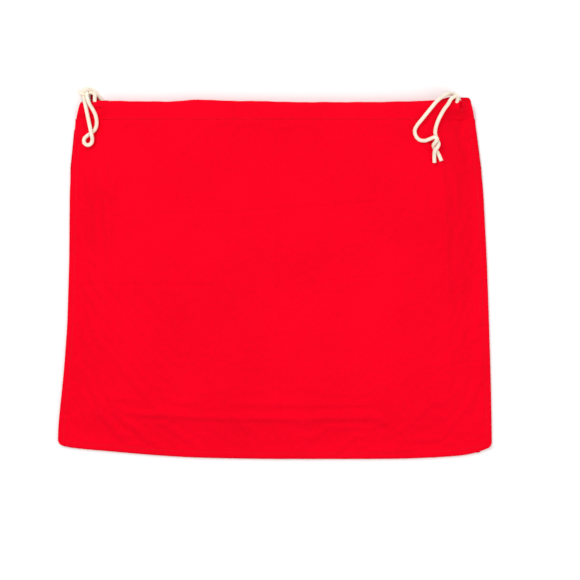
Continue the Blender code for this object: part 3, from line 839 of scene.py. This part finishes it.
def corner_flap(name, x_inner, x_outer_at, y_low, y_high, material):
    """Double cloth beside a casing's end, with a soft outer corner that lifts a little."""
    down, across = (np.arange(count) / (count - 1) for count in FLAP_STEPS)
    y = (y_high + (y_low - y_high) * down)[:, None] * np.ones(FLAP_STEPS)
    edge = x_outer_at(y[:, :1]) * np.ones(FLAP_STEPS)
    x = x_inner + (edge - x_inner) * across
    outer_low = float(x_outer_at(y_low))
    side = 1.0 if outer_low > x_inner else -1.0
    x, y = rounded(x, y, edge, -side, y_high, -1.0, FLAP_RADIUS)
    away = np.clip((side * (x - x_inner) - 6.0 * MM) / (9.0 * MM), 0.0, 1.0)
    high = np.clip((y - y_low) / (y_high - y_low), 0.0, 1.0)
    rise = FLAP_RISE * away * high ** 2 * np.sin(math.pi * high * 0.62)
    rise += 0.25 * MM * away * np.sin(x / (2.1 * MM)) * high
    # flat where the cord slides over it, and lifted only past the cord's line
    past_cord = y - CORD_Y - 2.6 * MM
    rise = np.maximum(rise, 0.0) * smooth_step(past_cord / (4.0 * MM))
    turn = rolled(np.minimum(side * (edge - x), y_high - y), 0.8 * MM)
    low = 0.05 * MM + rise + 0.35 * MM * (1.0 - turn)
    top = low + 0.1 * MM + 0.85 * MM * turn
    piece = sheet_piece(name, "back_panel", x, y, top, low, material)


def add_corner_flaps(material):
    y_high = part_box("back_panel")[1][1]
    y_low = STITCH_LINE_Y - 1.5 * MM
    ys = np.linspace(y_low - 1 * MM, y_high - 2.6 * MM, 14)
    left, right = edge_profile(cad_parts["back_panel"], 1, ys)
    casing_low, casing_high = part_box("back_casing")
    corner_flap("back_corner_right", casing_high[0] + 0.2 * MM, lambda y: np.interp(y, ys, right),
                y_low, y_high, material)
    corner_flap("back_corner_left", casing_low[0] - 0.2 * MM, lambda y: np.interp(y, ys, left),
                y_low, casing_high[1] + 1.0 * MM, material)


# --- casings

# How far the mouth's folded edge wanders, at places along it, in metres
FRONT_FOLD = ((-0.176, 0.0), (-0.140, -0.0009), (-0.106, -0.0011), (-0.076, 0.0010), (-0.051, -0.0002),
    (-0.011, -0.0008), (0.026, -0.0017), (0.073, -0.0017), (0.107, -0.0018), (0.156, 0.0),
    (0.176, 0.0002))
BACK_FOLD = ((-0.168, 0.0), (-0.09, -0.0008), (0.02, -0.0014), (0.10, -0.0006), (0.184, 0.0004))
TUBE_POINTS = 22
BORE_POINTS = 24
WEB_POINTS = 9
CASING_RADIUS = 2.62 * MM        # outside of the tube round the cord
CASING_BORE = 2.2 * MM           # inside of it
WEB = 1.3 * MM                   # the two flat layers between the tube and the hem line
WEB_SAG = 0.8 * MM
EDGE_BELOW_STITCHES = 0.6 * MM
FALL_LIMITS = (-0.8 * MM, 8.0 * MM)   # how far a casing's lower edge may follow the cloth
FLARE = 0.35 * MM                # how much wider a casing's mouth is than its middle
CUT_STEPS = np.array((0.0, 0.3, 0.9, 1.8)) * MM   # rings close to a casing's cut ends


def casing_section(cord_z, fold_y, panel_z, sign):
    """Outer and inner loops (y, z) of a casing: a tube round the cord and two flat layers.

    sign is 1 where the outside of the cloth faces up, and -1 where it faces down."""
    edge_y = STITCH_LINE_Y - EDGE_BELOW_STITCHES
    web_shares = [k / (WEB_POINTS - 1) for k in range(WEB_POINTS)]
    crown = cord_z + sign * CASING_RADIUS
    outer = []
    for t in web_shares:
        y = edge_y + (CORD_Y - 1.2 * MM - edge_y) * t
        sag = WEB_SAG * math.sin(math.pi * t) * (1 - 0.3 * t)
        outer.append((y, panel_z + (crown - panel_z) * t * t * (3 - 2 * t) - sign * sag))
    for k in range(TUBE_POINTS):
        a = math.radians(-14.0 + 196.0 * k / (TUBE_POINTS - 1))
        reach = CASING_RADIUS + (fold_y - CORD_Y - CASING_RADIUS) * max(math.sin(a), 0.0) ** 2
        outer.append((CORD_Y + reach * math.sin(a), cord_z + sign * CASING_RADIUS * math.cos(a)))
    start = cord_z - sign * CASING_RADIUS * 0.72
    end = panel_z - sign * WEB
    for t in web_shares:
        y = CORD_Y - 2.6 * MM + (edge_y - CORD_Y + 2.6 * MM) * t
        sag = WEB_SAG * math.sin(math.pi * t) * 0.6
        outer.append((y, start + (end - start) * min(1.0, t * 2.2) - sign * sag))
    inner = []
    for k in range(BORE_POINTS):
        a = 2.0 * math.pi * k / BORE_POINTS
        room = max(fold_y - CORD_Y - CASING_BORE - 0.45 * MM, 0.0)
        reach = CASING_BORE + room * max(math.sin(a), 0.0) ** 2
        inner.append((CORD_Y + reach * math.sin(a), cord_z + sign * CASING_BORE * math.cos(a)))
    return outer, inner


def pressed_under_cords(ring):
    """Lowers a front casing's web where a strand lies on it, its upper layer first."""
    ring = np.array(ring)
    pressed = WEB_POINTS - 1
    ring[:pressed, 2] = under_cords(ring[:pressed, 0], ring[:pressed, 1], ring[:pressed, 2])
    above = np.interp(ring[-WEB_POINTS:, 1], ring[:WEB_POINTS, 1], ring[:WEB_POINTS, 2])
    ring[-WEB_POINTS:, 2] = np.minimum(ring[-WEB_POINTS:, 2], above - 0.4 * MM)
    return [tuple(point) for point in ring]


def add_casing(name, node, cord_z, fold, panel_z, sign, seed, material, longer=(0.0, 0.0), beneath=None):
    """A casing over its CAD node; its lower edge follows the top of the cloth beneath, if given."""
    low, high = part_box(node)
    rng = np.random.default_rng(seed)
    x_low = low[0] - longer[0]
    x_high = high[0] + longer[1]
    xs = np.concatenate((CUT_STEPS + x_low, np.arange(x_low + 3.0 * MM, x_high - 3.0 * MM, 1.4 * MM),
                         x_high - CUT_STEPS[::-1]))
    pucker = ripple(xs, (6.5 * MM, 9.5 * MM, 15.0 * MM), rng)
    wave = ripple(xs, (19.0 * MM, 34.0 * MM, 61.0 * MM), rng)
    fold_line = softened(np.interp(xs, *zip(*fold)), 24)
    verts = []
    for k, x in enumerate(xs):
        fallen = 0.0
        if beneath is not None:
            edge_z = beneath(x, STITCH_LINE_Y - EDGE_BELOW_STITCHES)
            fallen = np.clip(panel_z - HEM_GROOVE - edge_z - 0.2 * MM, *FALL_LIMITS)
        flare = FLARE * math.exp(-(min(x - x_low, x_high - x) / (5.0 * MM)) ** 2)
        outer, inner = casing_section(cord_z, high[1] + fold_line[k], panel_z - sign * HEM_GROOVE, sign)
        ring = []
        for y, z in outer:
            above = y - STITCH_LINE_Y
            t = np.clip(above / (9.0 * MM), 0.0, 1.0)
            near_stitch = math.exp(-(max(above, 0.0) / (5.5 * MM)) ** 2)
            z += 0.40 * MM * pucker[k] * near_stitch * math.sin(math.pi * min(1.4 * t, 1.0))
            z += sign * 0.16 * MM * wave[k] * t
            z -= fallen * (1.0 - smooth_step((above - 1.0 * MM) / (9.5 * MM)))
            spread = (z - cord_z) * flare / (2.6 * MM) * t
            ring.append((x, y + 0.25 * MM * wave[k] * t ** 3, max(z + spread, 0.02 * MM)))
        if beneath is not None:
            ring = pressed_under_cords(ring)
        for y, z in inner:
            spread = (z - cord_z) * flare / (2.6 * MM)
            ring.append((x, y + 0.1 * MM * wave[k], max(z + spread, 0.3 * MM)))
        verts.extend(ring)
    loops = ((0, len(outer), sign < 0), (len(outer), len(inner), sign > 0))
    size = len(outer) + len(inner)
    faces = []
    for i in range(len(xs) - 1):
        for first, count, flip in loops:
            for j in range(count):
                a = i * size + first + j
                b = i * size + first + (j + 1) % count
                quad = (a, b, b + size, a + size)
                faces.append(quad[::-1] if flip else quad)
    piece = mesh_piece(name, node, verts, faces, material, "sack")
    close_ends(piece, size, loops, len(xs))
    return piece


def close_ends(piece, size, loops, rings):
    """Fills the cut edge of the cloth at both ends of a casing, between its two loops."""
    bm = bmesh.new()
    bm.from_mesh(piece.data)
    bm.verts.ensure_lookup_table()
    for ring in (0, rings - 1):
        edges = []
        for first, count, _ in loops:
            loop = [bm.verts[ring * size + first + j] for j in range(count)]
            edges += [bm.edges.get(pair) for pair in zip(loop, loop[1:] + loop[:1])]
        bmesh.ops.triangle_fill(bm, use_beauty=True, edges=edges)
    bmesh.ops.recalc_face_normals(bm, faces=bm.faces)
    bm.to_mesh(piece.data)
    bm.free()
    piece.data.shade_smooth()


HEM_END_STEPS = np.array((0.0, 0.2, 0.6, 1.2)) * MM
HEM_END_OVERLAP = 0.8 * MM       # how far a hem end starts inside the CAD casing's end
HEM_END_RADIUS = 5.0 * MM        # of its outer corner
HEM_END_READ = (0.7 * MM, 14.6 * MM)  # where past the casing the CAD hem's height is read
NOTCH = 2.9 * MM                 # half the width kept clear under the cord's line
NOTCH_DEPTH = 2.25 * MM          # below the cord's middle


def add_hem_ends(front, casing, material):
    """The flat ends of the front hem beside the casing, open at the side where the cord comes out."""
    casing_low, casing_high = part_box("front_casing")
    casing_xs = [v.co.x for v in casing.data.vertices]
    cord_z = FRONT_RUN[0][2]
    hem_height = cad_height_sampler("front_panel")
    y_low = STITCH_LINE_Y - 0.9 * MM
    y_high = casing_high[1]
    ys = np.linspace(y_low, y_high, 34)
    left, right = edge_profile(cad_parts["back_panel"], 1, ys)
    middle_y = 0.5 * (casing_low[1] + casing_high[1])
    surface = surface_of(front, casing)

    def height(x, y, x_inner, x_end, side):
        """From the sewn cloth up to the CAD hem, held up beside the casing's end."""
        reach = np.clip(max(side * (x - x_inner), 0.0), *HEM_END_READ)
        sewn = surface(x, y_low + 0.2 * MM)
        sewn = sewn if not math.isnan(sewn) else SEAM_EDGE_Z
        flat = hem_height(x_inner + side * reach, middle_y)
        z = sewn + (flat - sewn) * smooth_step((y - y_low) / (8.0 * MM))
        past = side * (x - x_end)
        beside = surface(x_end - side * 0.6 * MM, y)
        if past <= -0.5 * MM or math.isnan(beside):
            return z
        held = math.exp(-(max(past, 0.0) / (5.0 * MM)) ** 2) * smooth_step((y - y_low) / (2.2 * MM))
        z += max(beside - 0.1 * MM - z, 0.0) * held
        return min(z, cord_z - NOTCH_DEPTH) if abs(y - CORD_Y) < NOTCH else z

    ends = (("front_hem_end_right", casing_high[0], max(casing_xs), right - 0.3 * MM, 1.0),
            ("front_hem_end_left", casing_low[0], min(casing_xs), left + 0.3 * MM, -1.0))
    for name, x_inner, x_end, x_outer, side in ends:
        shares = spaced(abs(x_outer[0] - x_inner), 0.8 * MM, HEM_END_STEPS)
        x_start = x_inner - side * HEM_END_OVERLAP
        x = x_start + (x_outer[:, None] - x_start) * shares[None, :]
        y = ys[:, None] * np.ones(x.shape)
        edge = x_outer[:, None] * np.ones(x.shape)
        x, y = rounded(x, y, edge, -side, y_high, -1.0, HEM_END_RADIUS)
        z = np.array([[height(a, b, x_inner, x_end, side) for a, b in zip(*row)] for row in zip(x, y)])
        rng = np.random.default_rng(SEED + 7)
        pucker = ripple(x[0] + 0.2 * y[0], (6.5 * MM, 10.0 * MM), rng)[None, :]
        near_seam = np.exp(-((y - y_low) / (6.0 * MM)) ** 2)
        z += 0.3 * MM * pucker * (0.35 + 0.65 * near_seam)
        z = under_cords(x, y, z)
        edge_drop = 0.45 * MM * (1.0 - rolled(np.minimum(side * (edge - x), y_high - y), 1.0 * MM))
        under = np.maximum(z - 1.0 * MM + edge_drop, 0.9 * MM)
        piece = sheet_piece(name, "front_panel", x, y, z - edge_drop, under, material)


# Outer rims of the back hem's two puckers, in metres
PUCKERS = {
    "back_hem_pucker_right": ((0.1660, 0.1790), (0.1700, 0.1816), (0.1760, 0.1834), (0.1865, 0.1832)),
    "back_hem_pucker_left": ((-0.1860, 0.1876), (-0.1845, 0.1882), (-0.1800, 0.1846), (-0.1736, 0.1796)),
}
PUCKER_ROLL = 0.12               # share of a pucker's depth that rolls down at its rim


def add_mouth_corners(material):
    """Puckers of the back hem that show past the front fold, under the cord's two bights, in a darker
    red that is painted shade.
    """
    low_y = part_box("front_casing")[1][1] - 1.5 * MM
    for name, rim in PUCKERS.items():
        xs = np.linspace(rim[0][0], rim[-1][0], 30)
        rim_y = softened(np.interp(xs, *zip(*rim)), 6)
        depth = np.linspace(0.0, 1.0, 14)[:, None]
        y = low_y + (rim_y[None, :] - low_y) * (1.0 - depth)
        x = xs[None, :] * np.ones(y.shape)
        wave = 0.15 * MM * np.sin(x / (1.3 * MM)) * np.sin(y / (1.9 * MM))
        top = 0.35 * MM + (0.6 * MM + wave) * rolled(depth, PUCKER_ROLL)
        sheet_piece(name, "back_panel", x, y, top, np.full(x.shape, 0.08 * MM), material)


# --- stitches


def stitch_shape():
    """One lockstitch: a short bowed thread, sunk at both ends."""
    rings, around = 7, 7
    length = 0.78 * STITCH_PITCH
    verts = []
    for i in range(rings):
        t = i / (rings - 1)
        radius = THREAD_RADIUS * (0.35 + 0.65 * math.sin(math.pi * min(max(t, 0.04), 0.96)) ** 0.5)
        lift = 0.30 * MM * math.sin(math.pi * t) - 0.20 * MM
        for j in range(around):
            a = 2 * math.pi * j / around
            verts.append(((t - 0.5) * length, radius * math.cos(a), lift + radius * math.sin(a)))
    return verts, closed_tube(rings, around)


def stitch_row(name, node, points, surface, material):
    """Stitches at even steps along a line of places, laid on a surface."""
    shape, shape_faces = stitch_shape()
    lengths = np.concatenate(([0.0], np.cumsum(np.hypot(*np.diff(points, axis=0).T))))
    rng = np.random.default_rng(SEED + 5)

    def at(length):
        return np.array([np.interp(length, lengths, points[:, k]) for k in range(2)])

    verts = []
    faces = []
    for k in range(int(lengths[-1] / STITCH_PITCH)):
        x, y = at((k + 0.5) * STITCH_PITCH)
        ahead_x, ahead_y = at((k + 0.5) * STITCH_PITCH + 0.5 * MM) - (x, y)
        angle = math.atan2(ahead_y, ahead_x) + rng.normal(0, 0.035)
        z = surface(x, y)
        if math.isnan(z):
            continue
        c, s = math.cos(angle), math.sin(angle)
        faces += [tuple(len(verts) + i for i in face) for face in shape_faces]
        verts += [(x + c * px - s * py, y + s * px + c * py, z + pz) for px, py, pz in shape]
    mesh_piece(name, node, verts, faces, material, "sack")


def surface_of(*pieces):
    """Highest point of the pieces above a place."""
    trees = [BVHTree.FromPolygons([v.co for v in p.data.vertices],
                                  [tuple(f.vertices) for f in p.data.polygons]) for p in pieces]

    def height(x, y):
        hits = [t.ray_cast(Vector((x, y, 0.1)), Vector((0, 0, -1)))[0] for t in trees]
        tops = [h.z for h in hits if h is not None]
        return max(tops) if tops else float("nan")

    return height


def add_seam_stitches(outline, surface, material):
    ys = np.linspace(STITCH_LINE_Y - 4 * MM, outline.bottom_at(0.0) + 16 * MM, 80)
    xs = np.linspace(outline.left_at(-0.17) + SEAM_INSET + 1 * MM,
                     outline.right_at(-0.17) - SEAM_INSET - 1 * MM, 80)
    lines = {"left": (outline.left_at(ys) + SEAM_INSET, ys),
             "right": (outline.right_at(ys) - SEAM_INSET, ys),
             "bottom": (xs, outline.bottom_at(xs) + SEAM_INSET)}
    for side, line in lines.items():
        stitch_row(side + "_seam_stitches", side + "_seam_stitching", np.stack(line, axis=1), surface,
                   material)


def add_hem_stitches(layer, surface, material):
    low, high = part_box(layer + "_hem_stitching")
    line = np.array(((low[0], STITCH_LINE_Y), (high[0], STITCH_LINE_Y)))
    stitch_row(layer + "_hem_stitches", layer + "_hem_stitching", line, surface, material)


# --- the whole sack


def finish_allowances(material):
    # The allowances get the darker red that is painted shade
    for side in ("left", "right", "bottom"):
        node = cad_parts[side + "_seam_allowance"]
        node.data.materials.clear()
        node.data.materials.append(material)


def build():
    add_camera()
    cord = cord_cotton("cord_cotton")
    add_cords(cord)
    add_left_knot(cord)
    add_studio()
    red = cotton_cloth("red_cotton", (0.71, 0.0, 0.009, 1.0), (0.94, 0.0, 0.017, 1.0))
    # Darker red for cloth lying in shade: painted shade, used on the back hem's puckers and the seam
    # allowances
    inside = cotton_cloth("red_cotton_inside", (0.50, 0.0, 0.006, 1.0), (0.68, 0.001, 0.012, 1.0))
    thread = spun_thread("red_thread", (0.55, 0.0, 0.006, 1.0), (0.85, 0.002, 0.014, 1.0))
    outline = Outline()
    front = add_front_cloth(outline, red)
    add_back_cloth(outline, red)
    add_corner_flaps(red)
    add_mouth_corners(inside)
    hem_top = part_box("front_casing")[1][2] - 0.3 * MM
    front_casing = add_casing("front_hem_casing", "front_casing", FRONT_RUN[0][2], FRONT_FOLD, hem_top,
                              1.0, SEED + 3, red, longer=(6.0 * MM, 10.5 * MM),
                              beneath=surface_of(front))
    add_hem_ends(front, front_casing, red)
    back_casing = add_casing("back_hem_casing", "back_casing", BACK_RUN[0][2], BACK_FOLD, 0.7 * MM,
                             -1.0, SEED + 4, red)
    surface = surface_of(front, front_casing)
    add_seam_stitches(outline, surface, thread)
    add_hem_stitches("front", surface, thread)
    add_hem_stitches("back", surface_of(back_casing), thread)
    finish_allowances(inside)


build()
